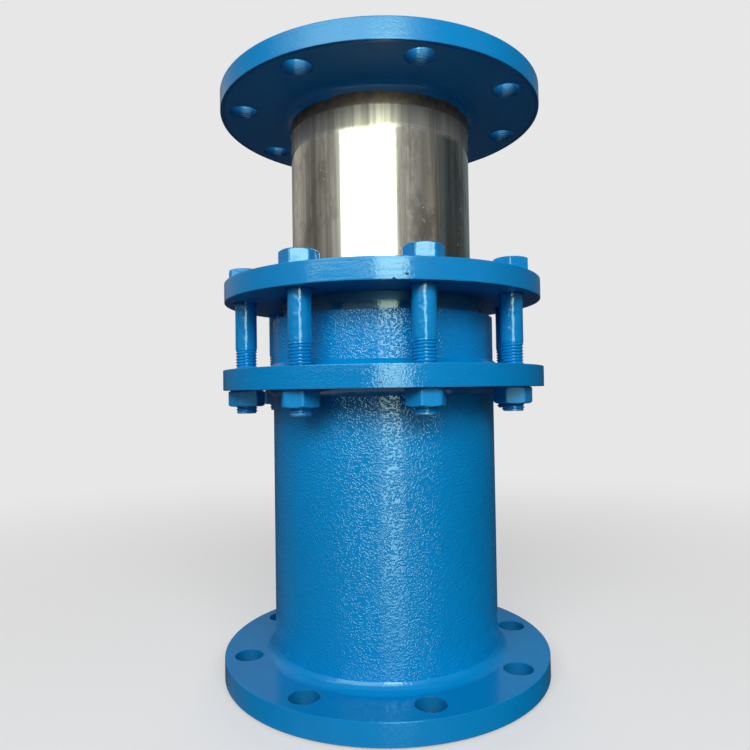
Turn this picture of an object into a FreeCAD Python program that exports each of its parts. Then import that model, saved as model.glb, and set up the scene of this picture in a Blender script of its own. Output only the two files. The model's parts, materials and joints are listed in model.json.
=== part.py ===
"""Sleeve expansion joint DN 150, flanged at both ends, gland packed.

Millimetres. The pipe axis is +Z. The origin is the centre of the lower sealing face, on
which the joint stands, and the sleeve comes out of the top of the casing.
"""
import FreeCAD, Part
import math
import os
import Sketcher

SIZES = (
    ("overall_length", 500, "face to face, with the sleeve at mid travel"),
    ("sleeve_radius", 79, "polished part of the sleeve; every other radius grows from it"),
    ("sleeve_wall", 6, "wall of the sleeve at its polished part"),
    ("pipe_step", 0.5, "how much thicker the unturned end of the sleeve is"),
    ("packing_width", 10, "sleeve out to the bore of the casing"),
    ("casing_wall", 8, "wall of the casing tube"),
    ("wrench_gap", 4, "toe of the stuffing box weld out to the flats of a nut"),
    ("bolt_count", 8, "holes in each flange, and gland bolts"),
    ("flange_hole_radius", 11.5, "clearance holes, end flanges"),
    ("gland_hole_radius", 10.5, "clearance holes, gland flange and stuffing box flange"),
    ("end_rim_width", 8.5, "metal outside the holes of both end flanges"),
    ("end_bore_gap", 0.5, "unturned end of the sleeve out to the bore of both end flanges"),
    ("face_hole_gap", 2.5, "holes in to the rim of the raised sealing face"),
    ("sealing_face_height", 2, "how far the sealing face stands proud"),
    ("casing_flange_thickness", 17.5, "without the sealing face"),
    ("sleeve_flange_thickness", 16.5, "without the sealing face"),
    ("rim_chamfer", 0.8, "broken edges of every flange rim"),
    ("end_weld_reach", 8.5, "fillet weld of an end flange, measured along the flange"),
    ("end_weld_rise", 6.5, "fillet weld of an end flange, measured along the pipe"),
    ("mouth_chamfer", 1.5, "lead-in at the mouth of the casing and the sleeve's inner end"),
    ("box_rim_width", 9, "metal outside the holes of the stuffing box flange"),
    ("box_flange_thickness", 17, "stuffing box flange"),
    ("box_flange_height", 242.4, "underside of the stuffing box flange above the lower face"),
    ("box_weld_leg", 5.5, "fillet welds above and below the stuffing box flange"),
    ("mouth_height", 42.9, "casing above the stuffing box flange"),
    ("box_depth", 85.3, "mouth of the casing down to the packing seat"),
    ("seat_ring_thickness", 12, "ring that carries the packing"),
    ("seat_ring_clearance", 0.5, "packing seat ring to sleeve"),
    ("inner_weld_leg", 3.5, "fillet welds of the seat ring and the stop ring"),
    ("packing_ring_count", 6, "rings in the stuffing box"),
    ("packing_ring_height", 10, "one ring, pressed down"),
    ("packing_clearance", 0.1, "packing to sleeve and to casing"),
    ("turned_margin", 17.1, "unturned length of the sleeve below its flange"),
    ("sleeve_setback", 7, "end of the sleeve behind the sealing face"),
    ("face_weld_leg", 6, "weld inside the sleeve's flange"),
    ("stop_ring_thickness", 12, "ring that keeps the sleeve from being pulled out"),
    ("stop_ring_width", 5.5, "how far it stands out from the sleeve"),
    ("stop_ring_setback", 5, "stop ring above the inner end of the sleeve"),
    ("extension_travel", 28, "free travel from the stop ring up to the seat ring"),
    ("gland_rim_width", 7.5, "metal outside the holes of the gland flange"),
    ("gland_flange_thickness", 16.5, "gland flange"),
    ("gland_gap", 14.2, "mouth of the casing up to the gland flange"),
    ("gland_clearance", 1, "pusher to sleeve and to casing"),
    ("gland_weld_leg", 6, "bevel weld at the top of the pusher"),
    ("weld_crown_radius", 14, "rounding of the outer fillet welds"),
    ("fit_gap", 0.25, "plates slipped over a tube before they are welded"),
    ("bolt_shank_radius", 9, "plain part of the gland bolts"),
    ("bolt_thread_radius", 8.9, "over the crests of the thread"),
    ("bolt_thread_length", 54.5, "threaded end of a gland bolt"),
    ("bolt_end_beyond_nut", 5.9, "thread that shows under a nut"),
    ("bolt_end_chamfer", 1.4, "point of a gland bolt"),
    ("hex_flats", 27, "across the flats of the heads and nuts"),
    ("hex_bevel", 1.3, "height of the bevel on the corners of heads and nuts"),
    ("hex_face_inset", 0.54, "flats in to the rim of the round face left by the bevel"),
    ("head_height", 11.5, "gland bolt head"),
    ("nut_height", 13.5, "gland nut"),
    ("nut_clearance", 0.08, "thread crests to the bore of a nut"),
)

# How far each bolt head and each nut happens to stand turned, in degrees
HEAD_TURNS = (15, 11, 26, 48, 3, 37, 20, 55)
NUT_TURNS = (52, 22, 5, 40, 31, 12, 58, 26)

# Heights above the lower sealing face, from the bottom up
FLANGE_BACK = "(sizes.sealing_face_height + sizes.casing_flange_thickness)"
BOX_UNDER = "sizes.box_flange_height"
BOX_TOP = "(sizes.box_flange_height + sizes.box_flange_thickness)"
MOUTH = "(sizes.box_flange_height + sizes.box_flange_thickness + sizes.mouth_height)"
PACKING_BOTTOM = "(" + MOUTH + " - sizes.box_depth)"
PACKING_TOP = "(" + PACKING_BOTTOM + " + sizes.packing_ring_count * sizes.packing_ring_height)"
SEAT_UNDER = "(" + PACKING_BOTTOM + " - sizes.seat_ring_thickness)"
STOP_UNDER = "(" + SEAT_UNDER + " - sizes.extension_travel - sizes.stop_ring_thickness)"
SLEEVE_END = "(" + STOP_UNDER + " - sizes.stop_ring_setback)"
GLAND_UNDER = "(" + MOUTH + " + sizes.gland_gap)"
GLAND_TOP = "(" + GLAND_UNDER + " + sizes.gland_flange_thickness)"
SLEEVE_TOP = "(sizes.overall_length - sizes.sleeve_setback)"
SLEEVE_FLANGE_UNDER = ("(sizes.overall_length - sizes.sealing_face_height"
                       " - sizes.sleeve_flange_thickness)")
STEP = "(" + SLEEVE_FLANGE_UNDER + " - sizes.turned_margin)"
NUT_UNDER = "(" + BOX_UNDER + " - sizes.nut_height)"

# Radii, from the sleeve outwards
SLEEVE_BORE = "(sizes.sleeve_radius - sizes.sleeve_wall)"
SLEEVE_PIPE = "(sizes.sleeve_radius + sizes.pipe_step)"
END_BORE = "(" + SLEEVE_PIPE + " + sizes.end_bore_gap)"
CASING_BORE = "(sizes.sleeve_radius + sizes.packing_width)"
CASING_OUTER = "(" + CASING_BORE + " + sizes.casing_wall)"
PUSHER_INNER = "(sizes.sleeve_radius + sizes.gland_clearance)"
PUSHER_OUTER = "(" + CASING_BORE + " - sizes.gland_clearance)"
BOLT_CIRCLE = "(" + CASING_OUTER + " + sizes.box_weld_leg + sizes.wrench_gap + sizes.hex_flats / 2)"
SEALING_RIM = "(" + BOLT_CIRCLE + " - sizes.flange_hole_radius - sizes.face_hole_gap)"
END_RIM = "(" + BOLT_CIRCLE + " + sizes.flange_hole_radius + sizes.end_rim_width)"
BOX_RIM = "(" + BOLT_CIRCLE + " + sizes.gland_hole_radius + sizes.box_rim_width)"
GLAND_RIM = "(" + BOLT_CIRCLE + " + sizes.gland_hole_radius + sizes.gland_rim_width)"

# Heads and nuts
HEX_CORNER = "(sizes.hex_flats / sqrt(3))"
HEX_FACE = "(sizes.hex_flats / 2 - sizes.hex_face_inset)"

doc = FreeCAD.newDocument("sleeve_expansion_joint")
sheet = doc.addObject("Spreadsheet::Sheet", "sizes")
bodies = []


def fill_sheet():
    for row, (alias, value, meaning) in enumerate(SIZES, start=1):
        sheet.set("A%d" % row, meaning)
        sheet.set("B%d" % row, str(value))
        sheet.setAlias("B%d" % row, alias)
    doc.recompute()


def value_of(expression):
    return float(sheet.evalExpression(expression))


def new_body(label, height):
    """Start a sub-part whose own zero height stands at the given height on the pipe axis."""
    body = doc.addObject("PartDesign::Body", label)
    body.Label = label
    body.setExpression(".Placement.Base.z", height)
    bodies.append(body)
    return body


def origin_feature(body, role):
    for feature in body.Origin.OriginFeatures:
        if feature.Role == role:
            return feature


def new_sketch(body, name, plane):
    sketch = body.newObject("Sketcher::SketchObject", name)
    sketch.AttachmentSupport = [(origin_feature(body, plane), "")]
    sketch.MapMode = "FlatFace"
    return sketch


def bind(sketch, kind, geometry, expression):
    """Add a dimension to a sketch and tie it to an expression."""
    index = sketch.addConstraint(Sketcher.Constraint(kind, *geometry, value_of(expression)))
    sketch.setExpression("Constraints[%d]" % index, expression)


def pin(sketch, edge, end, across, up):
    """Hold one end of a sketch edge at two distances from the sketch's origin."""
    bind(sketch, "DistanceX", (-1, 1, edge, end), across)
    bind(sketch, "DistanceY", (-1, 1, edge, end), up)


def outline(body, name, points):
    """Draw a closed half section with straight sides through (radius, height) points."""
    sketch = new_sketch(body, name, "XZ_Plane")
    corners = [FreeCAD.Vector(value_of(across), value_of(up), 0) for across, up in points]
    count = len(corners)
    for edge in range(count):
        sketch.addGeometry(Part.LineSegment(corners[edge], corners[(edge + 1) % count]), False)
    for edge in range(count):
        sketch.addConstraint(Sketcher.Constraint("Coincident", edge, 2, (edge + 1) % count, 1))
    for edge, (across, up) in enumerate(points):
        pin(sketch, edge, 1, across, up)
    return sketch


def arc_between(start, end, radius):
    """The short arc that runs counter-clockwise from start to end."""
    chord = end - start
    middle = (start + end) * 0.5
    normal = FreeCAD.Vector(-chord.y, chord.x, 0).normalize()
    centre = middle + normal * math.sqrt(radius ** 2 - (chord.Length / 2) ** 2)
    first = math.atan2(start.y - centre.y, start.x - centre.x)
    last = math.atan2(end.y - centre.y, end.x - centre.x)
    circle = Part.Circle(centre, FreeCAD.Vector(0, 0, 1), radius)
    return Part.ArcOfCircle(circle, first, last)


def turn(body, name, sketch):
    """Revolve a half section about the body's own upright axis."""
    solid = body.newObject("PartDesign::Revolution", name)
    solid.Profile = sketch
    solid.ReferenceAxis = (sketch, ["V_Axis"])
    solid.Angle = 360
    body.Tip = solid
    return solid


def turned_ring(label, height, points):
    body = new_body(label, height)
    turn(body, label + "_turned", outline(body, label + "_section", points))
    return body


def plain_ring(label, height, inner, outer, thickness):
    return turned_ring(label, height, (
        (inner, "0"),
        (outer, "0"),
        (outer, thickness),
        (inner, thickness),
    ))


def bevel_weld(label, height, corner, reach, rise):
    """A bead dressed flat; reach is negative inside a bore, rise is negative downwards."""
    return turned_ring(label, height, (
        (corner, "0"),
        (corner + " + " + reach, "0"),
        (corner, rise),
    ))


def fillet_weld(label, height, corner, reach, rise):
    """A crowned bead round the outside of a pipe; rise is negative under a plate."""
    crown = "sizes.weld_crown_radius"
    body = new_body(label, height)
    sketch = new_sketch(body, label + "_section", "XZ_Plane")
    plate_toe = corner + " + " + reach
    root = FreeCAD.Vector(value_of(corner), 0, 0)
    on_plate = FreeCAD.Vector(value_of(plate_toe), 0, 0)
    on_pipe = FreeCAD.Vector(value_of(corner), value_of(rise), 0)
    counter_clockwise = value_of(rise) > 0
    start, end = (on_plate, on_pipe) if counter_clockwise else (on_pipe, on_plate)
    sketch.addGeometry(Part.LineSegment(root, on_plate), False)
    sketch.addGeometry(Part.LineSegment(on_pipe, root), False)
    sketch.addGeometry(arc_between(start, end, value_of(crown)), False)
    plate_end, pipe_end = (1, 2) if counter_clockwise else (2, 1)
    sketch.addConstraint(Sketcher.Constraint("Coincident", 1, 2, 0, 1))
    sketch.addConstraint(Sketcher.Constraint("Coincident", 0, 2, 2, plate_end))
    sketch.addConstraint(Sketcher.Constraint("Coincident", 1, 1, 2, pipe_end))
    pin(sketch, 0, 1, corner, "0")
    pin(sketch, 0, 2, plate_toe, "0")
    pin(sketch, 1, 1, corner, rise)
    bind(sketch, "Radius", (2,), crown)
    turn(body, label + "_turned", sketch)
    return body


def drill_bolt_circle(body, hole_radius):
    """Drill one hole half a pitch from the X axis and repeat it round the pipe axis."""
    half_pitch = "180 / sizes.bolt_count"
    across = BOLT_CIRCLE + " * cos(" + half_pitch + ")"
    up = BOLT_CIRCLE + " * sin(" + half_pitch + ")"
    sketch = new_sketch(body, body.Label + "_hole", "XY_Plane")
    centre = FreeCAD.Vector(value_of(across), value_of(up), 0)
    sketch.addGeometry(Part.Circle(centre, FreeCAD.Vector(0, 0, 1), value_of(hole_radius)), False)
    bind(sketch, "Radius", (0,), hole_radius)
    pin(sketch, 0, 3, across, up)
    hole = body.newObject("PartDesign::Pocket", body.Label + "_drilled")
    hole.Profile = sketch
    hole.Type = "ThroughAll"
    hole.Midplane = True
    circle = body.newObject("PartDesign::PolarPattern", body.Label + "_bolt_circle")
    circle.Originals = [hole]
    circle.Axis = (origin_feature(body, "Z_Axis"), [""])
    circle.Angle = 360
    circle.setExpression("Occurrences", "sizes.bolt_count")
    body.Tip = circle


def end_flange(label, thickness):
    """A plate flange with a raised sealing face, lying on that face."""
    back = "(sizes.sealing_face_height + " + thickness + ")"
    body = turned_ring(label, "0", (
        (END_BORE, "0"),
        (SEALING_RIM, "0"),
        (SEALING_RIM, "sizes.sealing_face_height"),
        (END_RIM + " - sizes.rim_chamfer", "sizes.sealing_face_height"),
        (END_RIM, "sizes.sealing_face_height + sizes.rim_chamfer"),
        (END_RIM, back + " - sizes.rim_chamfer"),
        (END_RIM + " - sizes.rim_chamfer", back),
        (END_BORE, back),
    ))
    drill_bolt_circle(body, "sizes.flange_hole_radius")
    return body


def rim_points(radius, thickness):
    """The outer edge of a plate flange, both corners broken."""
    return (
        (radius + " - sizes.rim_chamfer", "0"),
        (radius, "sizes.rim_chamfer"),
        (radius, thickness + " - sizes.rim_chamfer"),
        (radius + " - sizes.rim_chamfer", thickness),
    )


def casing():
    """The outer tube with its end flange and the stuffing box flange."""
    end_flange("casing_flange", "sizes.casing_flange_thickness")
    height = MOUTH + " - " + FLANGE_BACK
    turned_ring("casing_tube", FLANGE_BACK, (
        (CASING_BORE, "0"),
        (CASING_OUTER, "0"),
        (CASING_OUTER, height),
        (CASING_BORE + " + sizes.mouth_chamfer", height),
        (CASING_BORE, height + " - sizes.mouth_chamfer"),
    ))
    fillet_weld("casing_flange_weld", FLANGE_BACK, CASING_OUTER,
                "sizes.end_weld_reach", "sizes.end_weld_rise")
    bore = CASING_OUTER + " + sizes.fit_gap"
    thickness = "sizes.box_flange_thickness"
    flange = turned_ring("stuffing_box_flange", BOX_UNDER, (
        (bore, "0"),
        *rim_points(BOX_RIM, thickness),
        (bore, thickness),
    ))
    drill_bolt_circle(flange, "sizes.gland_hole_radius")
    fillet_weld("stuffing_box_lower_weld", BOX_UNDER, CASING_OUTER,
                "sizes.box_weld_leg", "-sizes.box_weld_leg")
    fillet_weld("stuffing_box_upper_weld", BOX_TOP, CASING_OUTER,
                "sizes.box_weld_leg", "sizes.box_weld_leg")


def packing():
    """The seat ring inside the casing and the square graphite rings on it."""
    plain_ring("packing_seat_ring", SEAT_UNDER, "sizes.sleeve_radius + sizes.seat_ring_clearance",
               CASING_BORE, "sizes.seat_ring_thickness")
    bevel_weld("packing_seat_weld", SEAT_UNDER, CASING_BORE,
               "-sizes.inner_weld_leg", "-sizes.inner_weld_leg")
    for index in range(int(value_of("sizes.packing_ring_count"))):
        height = PACKING_BOTTOM + " + sizes.packing_ring_height * %d" % index
        plain_ring("packing_ring_%d" % (index + 1), height,
                   "sizes.sleeve_radius + sizes.packing_clearance",
                   CASING_BORE + " - sizes.packing_clearance", "sizes.packing_ring_height")


def sleeve():
    """The sliding pipe with its end flange and the ring that stops it at full reach."""
    step = STEP + " - " + SLEEVE_END
    top = SLEEVE_TOP + " - " + SLEEVE_END
    turned_ring("sleeve_tube", SLEEVE_END, (
        (SLEEVE_BORE, "0"),
        ("sizes.sleeve_radius - sizes.mouth_chamfer", "0"),
        ("sizes.sleeve_radius", "sizes.mouth_chamfer"),
        ("sizes.sleeve_radius", step),
        (SLEEVE_PIPE, step + " + sizes.pipe_step"),
        (SLEEVE_PIPE, top),
        (SLEEVE_BORE, top),
    ))
    flange = end_flange("sleeve_flange", "sizes.sleeve_flange_thickness")
    flange.Placement.Rotation = FreeCAD.Rotation(FreeCAD.Vector(1, 0, 0), 180)
    flange.setExpression(".Placement.Base.z", "sizes.overall_length")
    fillet_weld("sleeve_flange_weld", SLEEVE_FLANGE_UNDER, SLEEVE_PIPE,
                "sizes.end_weld_reach", "-sizes.end_weld_rise")
    bevel_weld("sleeve_face_weld", SLEEVE_TOP, END_BORE,
               "-sizes.face_weld_leg", "sizes.face_weld_leg")
    plain_ring("stop_ring", STOP_UNDER, "sizes.sleeve_radius",
               "sizes.sleeve_radius + sizes.stop_ring_width", "sizes.stop_ring_thickness")
    bevel_weld("stop_ring_weld", STOP_UNDER, "sizes.sleeve_radius",
               "sizes.inner_weld_leg", "-sizes.inner_weld_leg")


def gland():
    """The flange and pusher tube that press the packing down."""
    bore = PUSHER_OUTER + " + sizes.fit_gap"
    thickness = "sizes.gland_flange_thickness"
    flange = turned_ring("gland_flange", GLAND_UNDER, (
        (bore, "0"),
        *rim_points(GLAND_RIM, thickness),
        (PUSHER_OUTER + " + sizes.gland_weld_leg", thickness),
        (bore, thickness + " - sizes.gland_weld_leg + sizes.fit_gap"),
    ))
    drill_bolt_circle(flange, "sizes.gland_hole_radius")
    plain_ring("gland_pusher", PACKING_TOP, PUSHER_INNER, PUSHER_OUTER,
               GLAND_TOP + " - " + PACKING_TOP)
    bevel_weld("gland_weld", GLAND_TOP, PUSHER_OUTER,
               "sizes.gland_weld_leg", "-sizes.gland_weld_leg")


def place_on_bolt_circle(body, index, turned):
    """Move a body to its hole, counted from the front left, and turn it about its own axis."""
    angle = "(360 / sizes.bolt_count * (%d - 0.5) - 90)" % index
    body.Placement.Rotation = FreeCAD.Rotation(FreeCAD.Vector(0, 0, 1), turned)
    body.setExpression(".Placement.Base.x", BOLT_CIRCLE + " * cos" + angle)
    body.setExpression(".Placement.Base.y", BOLT_CIRCLE + " * sin" + angle)


def hexagon(body, name, height, bore=None):
    """Pad a hexagon upwards, with a flat facing along the body's own Y axis."""
    sketch = new_sketch(body, name + "_flats", "XY_Plane")
    corner = value_of(HEX_CORNER)
    turns = [math.radians(60 * edge) for edge in range(7)]
    ring = [FreeCAD.Vector(corner * math.cos(turn), corner * math.sin(turn), 0) for turn in turns]
    for edge in range(6):
        sketch.addGeometry(Part.LineSegment(ring[edge], ring[edge + 1]), False)
    for edge in range(6):
        sketch.addConstraint(Sketcher.Constraint("Coincident", edge, 2, (edge + 1) % 6, 1))
    half_flats = "sizes.hex_flats / 2"
    for edge, (across, up) in enumerate((
        (HEX_CORNER, "0"),
        (HEX_CORNER + " / 2", half_flats),
        ("-" + HEX_CORNER + " / 2", half_flats),
        ("-" + HEX_CORNER, "0"),
        ("-" + HEX_CORNER + " / 2", "-" + half_flats),
        (HEX_CORNER + " / 2", "-" + half_flats),
    )):
        pin(sketch, edge, 1, across, up)
    if bore:
        circle = Part.Circle(FreeCAD.Vector(0, 0, 0), FreeCAD.Vector(0, 0, 1), value_of(bore))
        sketch.addGeometry(circle, False)
        sketch.addConstraint(Sketcher.Constraint("Coincident", 6, 3, -1, 1))
        bind(sketch, "Radius", (6,), bore)
    pad = body.newObject("PartDesign::Pad", name)
    pad.Profile = sketch
    pad.setExpression("Length", height)
    body.Tip = pad


def bevel_corners(body, name, face, inwards):
    """Turn off the corners of a hexagon at one face; inwards is the way into the metal."""
    beyond = HEX_CORNER + " + sizes.hex_bevel"
    steepness = "sizes.hex_bevel / (" + HEX_CORNER + " - " + HEX_FACE + ")"
    slope = "(" + beyond + " - " + HEX_FACE + ") * " + steepness
    groove = body.newObject("PartDesign::Groove", name)
    sketch = outline(body, name + "_section", (
        (HEX_FACE, face),
        (beyond, face),
        (beyond, face + inwards + slope),
    ))
    groove.Profile = sketch
    groove.ReferenceAxis = (sketch, ["V_Axis"])
    groove.Angle = 360
    body.Tip = groove


def gland_bolt(index):
    """A hexagon bolt with its head's seat at its own zero height and its shank hanging down."""
    body = new_body("gland_bolt_%d" % (index + 1), GLAND_TOP)
    name = body.Label
    hexagon(body, name + "_head", "sizes.head_height")
    length = GLAND_TOP + " - " + NUT_UNDER + " + sizes.bolt_end_beyond_nut"
    thread_top = length + " - sizes.bolt_thread_length"
    sketch = outline(body, name + "_shank_section", (
        ("0", "0"),
        ("sizes.bolt_shank_radius", "0"),
        ("sizes.bolt_shank_radius", "-(" + thread_top + ")"),
        ("sizes.bolt_thread_radius", "-(" + thread_top + ")"),
        ("sizes.bolt_thread_radius", "-(" + length + " - sizes.bolt_end_chamfer)"),
        ("sizes.bolt_thread_radius - sizes.bolt_end_chamfer", "-(" + length + ")"),
        ("0", "-(" + length + ")"),
    ))
    turn(body, name + "_shank", sketch)
    bevel_corners(body, name + "_bevel", "sizes.head_height", " - ")
    place_on_bolt_circle(body, index, HEAD_TURNS[index % len(HEAD_TURNS)])


def gland_nut(index):
    """A nut drawn up against the underside of the stuffing box flange."""
    body = new_body("gland_nut_%d" % (index + 1), NUT_UNDER)
    name = body.Label
    bore = "sizes.bolt_thread_radius + sizes.nut_clearance"
    hexagon(body, name + "_blank", "sizes.nut_height", bore)
    bevel_corners(body, name + "_lower_bevel", "0", " + ")
    bevel_corners(body, name + "_upper_bevel", "sizes.nut_height", " - ")
    place_on_bolt_circle(body, index, NUT_TURNS[index % len(NUT_TURNS)])


def check_document():
    """Stop if any object failed to rebuild or any sub-part has no sound shape."""
    for item in doc.Objects:
        if "Invalid" in item.State or "Error" in item.State:
            raise RuntimeError(item.Label + " did not rebuild")
    for body in bodies:
        if body.Shape.isNull() or not body.Shape.isValid() or len(body.Shape.Solids) != 1:
            raise RuntimeError(body.Label + " is not one sound solid")


fill_sheet()
casing()
packing()
sleeve()
gland()
for bolt_index in range(int(value_of("sizes.bolt_count"))):
    gland_bolt(bolt_index)
    gland_nut(bolt_index)
doc.recompute()
check_document()
os.makedirs("parts", exist_ok=True)
for body in bodies:
    body.Shape.exportStep("parts/%s.step" % body.Label)
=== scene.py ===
"""Sleeve expansion joint: meshes, finishes and studio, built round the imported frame.

The file is laid out as an add-on. Each operator makes one group of pieces, in metres, in the
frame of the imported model: the pipe axis is +Z and the lower sealing face is at zero height.
"""
import json
import math
from dataclasses import dataclass, field
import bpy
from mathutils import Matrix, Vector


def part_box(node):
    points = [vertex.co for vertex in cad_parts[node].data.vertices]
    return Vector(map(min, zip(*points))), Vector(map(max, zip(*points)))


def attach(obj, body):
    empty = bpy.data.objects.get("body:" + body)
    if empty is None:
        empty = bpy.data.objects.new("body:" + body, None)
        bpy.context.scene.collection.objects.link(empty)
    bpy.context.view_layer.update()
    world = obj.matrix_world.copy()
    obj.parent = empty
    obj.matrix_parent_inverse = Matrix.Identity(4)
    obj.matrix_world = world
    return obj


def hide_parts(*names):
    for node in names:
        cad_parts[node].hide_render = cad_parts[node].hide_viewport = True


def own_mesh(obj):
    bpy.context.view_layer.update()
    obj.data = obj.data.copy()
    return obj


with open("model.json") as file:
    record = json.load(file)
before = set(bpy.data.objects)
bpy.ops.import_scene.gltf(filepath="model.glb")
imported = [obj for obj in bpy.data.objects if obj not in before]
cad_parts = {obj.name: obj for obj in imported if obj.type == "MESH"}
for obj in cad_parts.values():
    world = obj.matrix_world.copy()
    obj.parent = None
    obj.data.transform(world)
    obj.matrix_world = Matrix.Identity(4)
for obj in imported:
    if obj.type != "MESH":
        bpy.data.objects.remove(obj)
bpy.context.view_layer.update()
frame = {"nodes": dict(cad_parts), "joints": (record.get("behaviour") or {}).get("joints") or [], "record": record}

from types import SimpleNamespace

import bmesh
import bpy
from mathutils import Matrix, Vector

bl_info = {
    "name": "Sleeve Expansion Joint",
    "version": (1, 0, 0),
    "blender": (4, 5, 0),
    "location": "3D View > Sidebar > Expansion Joint",
    "description": "Builds the enamelled casing, gland, bolts and polished sleeve of a pipe joint",
    "category": "Add Mesh",
}

MM = 0.001
FULL_TURN = 2.0 * math.pi
HALF_FLAT = math.radians(30.0)

NUT_JOINTS = sorted(
    (joint for joint in frame["joints"] if joint["child"].startswith("gland_nut_")),
    key=lambda joint: joint["child"],
)
BOLT_AXES = [Vector(joint["pos_m"][:2]) for joint in NUT_JOINTS]
THREAD_PITCH = FULL_TURN / abs(frame["record"]["behaviour"]["couplings"][0]["ratio"])


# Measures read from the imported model

def spokes(node, axis=Vector((0.0, 0.0))):
    """Distance from an upright axis, and height, of each vertex of a CAD node."""
    return [((vertex.co.xy - axis).length, vertex.co.z)
            for vertex in frame["nodes"][node].data.vertices]


class Ring:
    """Least and greatest radius about the pipe axis, and the heights, of one CAD node."""

    def __init__(self, node):
        low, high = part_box(node)
        radii = [across for across, _up in spokes(node)]
        self.bore, self.rim = min(radii), max(radii)
        self.under, self.top = low.z, high.z

    def corners(self):
        return [(self.bore, self.under), (self.rim, self.under),
                (self.rim, self.top), (self.bore, self.top)]


BASE = Ring("casing_flange")
SHELL = Ring("casing_tube")
BOX = Ring("stuffing_box_flange")
GLAND = Ring("gland_flange")
CROWN = Ring("sleeve_flange")
SLEEVE = Ring("sleeve_tube")
BOLT = Ring("gland_bolt_1")
PAINT_LINE = Ring("sleeve_flange_weld").under - 0.2 * MM
STEP_LINE = max(up for _across, up in spokes("sleeve_tube")
                if SLEEVE.under < up < SLEEVE.top - 1.0 * MM)


def near(height, *gaps):
    """Heights at gaps in millimetres from a given one."""
    return [height + gap * MM for gap in gaps]


def hexagon_turn(node, axis):
    """Direction of one flat's normal, from the corners of a bolt head or nut."""
    arms = [vertex.co.xy - axis for vertex in frame["nodes"][node].data.vertices]
    corner = max(arms, key=lambda arm: arm.length)
    return math.atan2(corner.y, corner.x) + HALF_FLAT


def hexagon_sizes(node, axis):
    """Half width across flats, corner radius, face radius and drop of the corners' bevel."""
    rays = spokes(node, axis)
    top = max(up for _across, up in rays)
    corner = max(across for across, _up in rays)
    face = max(across for across, up in rays if up > top - 0.01 * MM)
    high = max(up for across, up in rays if across > corner - 0.01 * MM)
    return corner * math.cos(HALF_FLAT), corner, face, top - high


# Node trees written as expressions

def arithmetic(operation):
    """The method for one sign between wires and numbers, and its reflected form."""
    return (lambda self, other: self.math(operation, other),
            lambda self, other: self.graph.node("ShaderNodeMath", other, self,
                                                operation=operation))


class Wire:
    """One output of a node; signs and methods add the nodes that work on it."""

    def __init__(self, graph, socket):
        self.graph = graph
        self.socket = socket

    __add__, __radd__ = arithmetic("ADD")
    __sub__, __rsub__ = arithmetic("SUBTRACT")
    __mul__, __rmul__ = arithmetic("MULTIPLY")
    __truediv__, __rtruediv__ = arithmetic("DIVIDE")
    __gt__, __lt__ = arithmetic("GREATER_THAN")[0], arithmetic("LESS_THAN")[0]

    def __abs__(self):
        return self.math("ABSOLUTE")

    def into(self, kind, *others, **named):
        return self.graph.node(kind, self, *others, **named)

    def math(self, operation, *others, clamp=False):
        return self.into("ShaderNodeMath", *others, operation=operation, use_clamp=clamp)

    def vector(self, operation, *others, **named):
        return self.into("ShaderNodeVectorMath", *others, operation=operation, **named)

    def axes(self):
        """The three numbers of a vector."""
        split = self.into("ShaderNodeSeparateXYZ").socket.node
        return [Wire(self.graph, socket) for socket in split.outputs]

    def step(self, low, high):
        """0 below low, 1 above high, smooth between."""
        return self.into("ShaderNodeMapRange", low, high, interpolation_type="SMOOTHSTEP")

    def band(self, low, low_full, high_full, high):
        """1 between the two inner values, 0 outside the outer ones."""
        return self.step(low, low_full) * (1.0 - self.step(high_full, high))

    def noise(self, scale, detail=2.0, roughness=0.5):
        return self.into("ShaderNodeTexNoise", Scale=scale, Detail=detail, Roughness=roughness)

    def grain(self, across, along, detail, roughness=0.5):
        """Noise of one scale across the pipe axis and another along it."""
        return self.vector("MULTIPLY", (across, across, along)).noise(1.0, detail, roughness)

    def mix(self, first, second):
        """The first number where this is 0, the second where it is 1."""
        return self.into("ShaderNodeMix", None, first, second, data_type="FLOAT")

    def colour(self, first, second):
        """The first colour where this is 0, the second where it is 1."""
        return self.graph.colour(self, first, second)

    def times(self, other):
        return self.graph.colour(1.0, self, other, "MULTIPLY")


class Graph:
    """A shader or geometry tree, with one method for any node."""

    def __init__(self, tree):
        self.tree = tree

    def node(self, kind, *values, output=0, **named):
        """Values go to the inputs in order, or by name with a capital; the rest are settings."""
        node = self.tree.nodes.new(kind)
        count = len(self.tree.nodes)
        node.location = (200 * (count % 10), -260 * (count // 10))
        inputs = dict(enumerate(values))
        for name, value in named.items():
            if name[0].isupper():
                inputs[name.replace("_", " ")] = value
            else:
                setattr(node, name, value)
        for key, value in inputs.items():
            for part in value if isinstance(value, list) else [value]:
                if isinstance(part, Wire):
                    self.tree.links.new(part.socket, node.inputs[key])
                elif part is not None:
                    node.inputs[key].default_value = part
        return Wire(self, node.outputs[output]) if node.outputs else node

    def geo(self, kind, *values, **named):
        return self.node("GeometryNode" + kind, *values, **named)

    def combine(self, x, y, z):
        return self.node("ShaderNodeCombineXYZ", x, y, z)

    def colour(self, factor, first, second, blend="MIX"):
        skipped = [None] * 5
        return self.node("ShaderNodeMix", factor, *skipped, rgba(first), rgba(second), output=2,
                         data_type="RGBA", blend_type=blend)

    def polar(self):
        """Each point's place, its distance from the pipe axis and its azimuth."""
        x, y, z = self.geo("InputPosition").axes()
        return x, y, z, across(x, y), y.math("ARCTAN2", x)


def across(x, y):
    return (x * x + y * y).math("SQRT")


def rgba(value):
    return value if isinstance(value, Wire) else (*tuple(value)[:3], 1.0)


# Geometry Nodes trees, with named inputs whose last word tells their kind

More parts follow.
